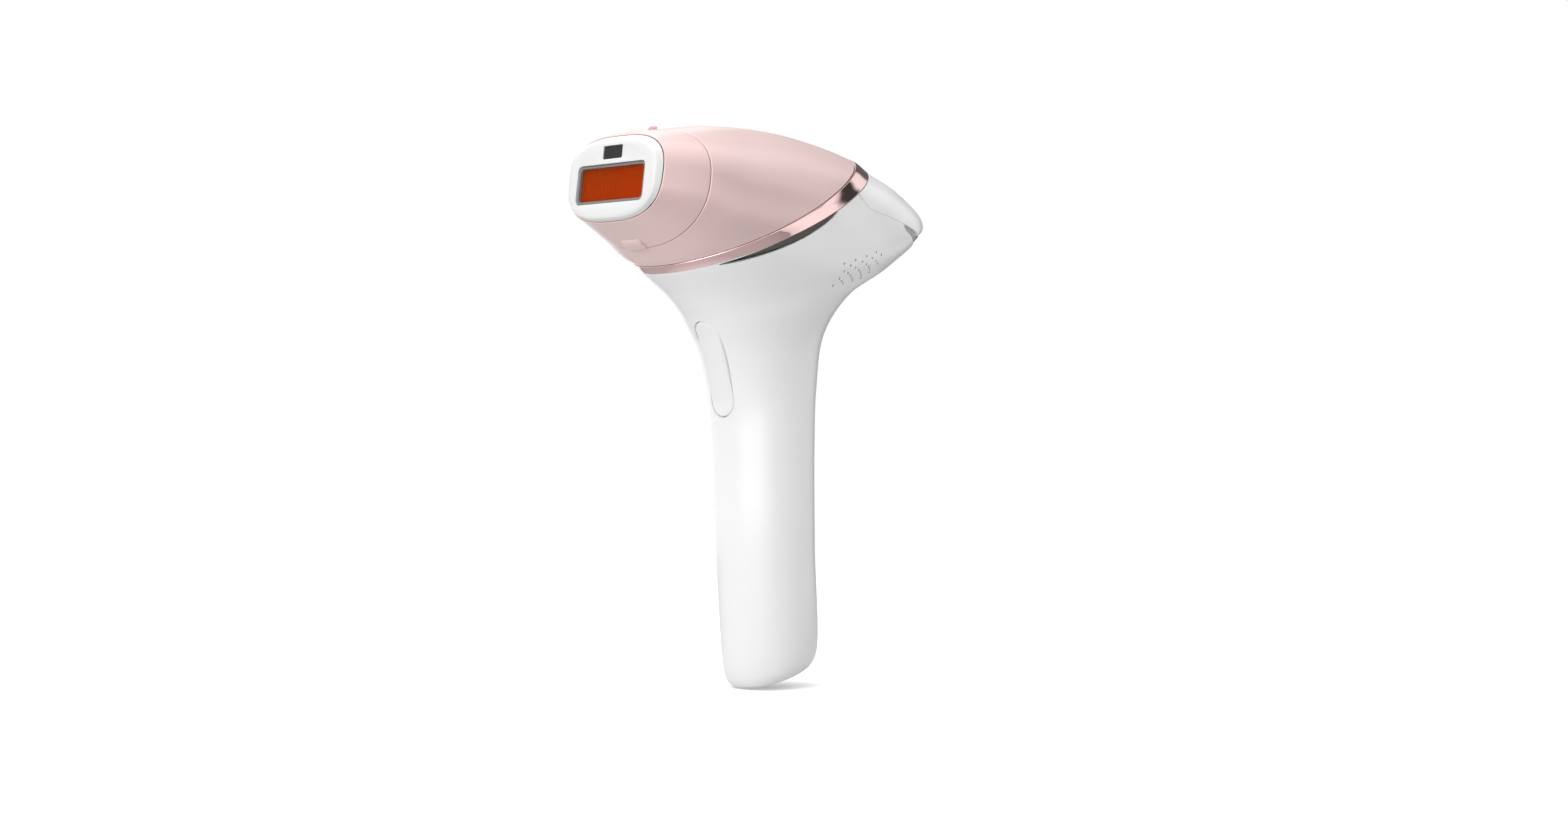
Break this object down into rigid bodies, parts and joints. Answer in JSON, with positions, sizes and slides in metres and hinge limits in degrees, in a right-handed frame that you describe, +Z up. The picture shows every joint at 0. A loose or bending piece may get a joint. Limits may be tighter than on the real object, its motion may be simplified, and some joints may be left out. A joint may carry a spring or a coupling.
{
  "type": "ipl hair remover",
  "caption": "Handheld flash-lamp hair remover with pistol handle, domed head, clip-on window attachment, sprung contact frame, flash button and cooling fan.",
  "frame": {"origin": "centre of the power socket's mouth, in the sole of the handle", "axes": "+Z up the handle to the head, -Y the way the light leaves, X across, symmetric about X = 0"},
  "size_m": [0.0664, 0.1553, 0.2035],
  "materials": {
    "white_plastic": "satin gloss",
    "pink_plastic": "pearl satin",
    "rose_chrome": "mirror",
    "inlet_plastic": "matte",
    "smoked_window": "gloss",
    "orange_glass": "gloss",
    "grey_bezel": "satin",
    "reflector_metal": "polished",
    "inner_plastic": "matte",
    "black_plastic": "matte",
    "spring_steel": "bright",
    "board": "solder mask",
    "contact_gold": "plated",
    "clear_glass": "gloss",
    "gasket_rubber": "matte",
    "heat_sink_metal": "extruded",
    "bronze": "sintered",
    "capacitor_sleeve": "shrink sleeve",
    "winding": "varnished",
    "light_guide": "clear",
    "wire": "insulation"
  },
  "bodies": {
    "device": {"main_housing": "white_plastic", "rear_panel": "white_plastic", "head_cover": "pink_plastic", "trim_ring": "rose_chrome", "air_inlet_left": "inlet_plastic", "air_inlet_right": "inlet_plastic", "socket_collar": "inlet_plastic", "status_light_window": "smoked_window", "lamp_reflector": "reflector_metal", "nose_plate": "inner_plastic", "chassis": "inner_plastic", "capacitor_cradle": "inner_plastic", "fan_housing": "inner_plastic", "lamp_housing": "inner_plastic", "flash_switch": "black_plastic", "panel_switches": "black_plastic", "dc_socket": "black_plastic", "flash_button_spring": "spring_steel", "board_screws": "spring_steel", "lamp_end_caps": "spring_steel", "socket_pin": "spring_steel", "main_board": "board", "control_board": "board", "contact_pins": "contact_gold", "exit_window": "clear_glass", "flash_lamp": "clear_glass", "window_gasket": "gasket_rubber", "heat_sink": "heat_sink_metal", "fan_bearing": "bronze", "capacitor": "capacitor_sleeve", "hv_transformer": "winding", "trigger_coil": "winding", "indicator_lights": "light_guide", "wiring": "wire"},
    "attachment": {"attachment_shell": "pink_plastic", "attachment_carrier": "inner_plastic", "contact_springs": "spring_steel", "contact_switches": "black_plastic", "filter_glass": "orange_glass", "window_bezel": "grey_bezel", "attachment_reflector": "reflector_metal", "sensor_board": "board"},
    "contact_frame": {"contact_frame": "white_plastic", "sensor_window": "smoked_window"},
    "flash_button": {"flash_button": "white_plastic"},
    "power_button": {"power_button": "white_plastic"},
    "intensity_button": {"intensity_button": "white_plastic"},
    "skin_sense_button": {"skin_sense_button": "white_plastic"},
    "fan_rotor": {"fan_rotor": "inner_plastic"}
  },
  "joints": [
    {"name": "attachment_pull", "type": "slide", "parent": "device", "child": "attachment", "axis": [0, -0.9914, 0.1305], "range_m": [0, 0.03]},
    {"name": "contact_frame_press", "type": "slide", "parent": "attachment", "child": "contact_frame", "axis": [0, 0.9914, -0.1305], "range_m": [0, 0.001], "stiffness_N_per_m": 800, "springref_m": -0.001, "deforming": ["contact_springs"]},
    {"name": "flash_button_press", "type": "slide", "parent": "device", "child": "flash_button", "axis": [0, 0.9744, 0.225], "range_m": [0, 0.0012], "stiffness_N_per_m": 1200, "springref_m": -0.0008, "deforming": ["flash_button_spring"]},
    {"name": "power_button_press", "type": "slide", "parent": "device", "child": "power_button", "axis": [0, -0.454, -0.891], "range_m": [0, 0.0005]},
    {"name": "intensity_button_press", "type": "slide", "parent": "device", "child": "intensity_button", "axis": [0, -0.454, -0.891], "range_m": [0, 0.0005]},
    {"name": "skin_sense_button_press", "type": "slide", "parent": "device", "child": "skin_sense_button", "axis": [0, -0.454, -0.891], "range_m": [0, 0.0005]},
    {"name": "fan_spin", "type": "hinge", "parent": "device", "child": "fan_rotor", "pos_m": [0, -0.01345, 0.16735], "axis": [0, -0.9914, 0.1305], "continuous": true}
  ]
}
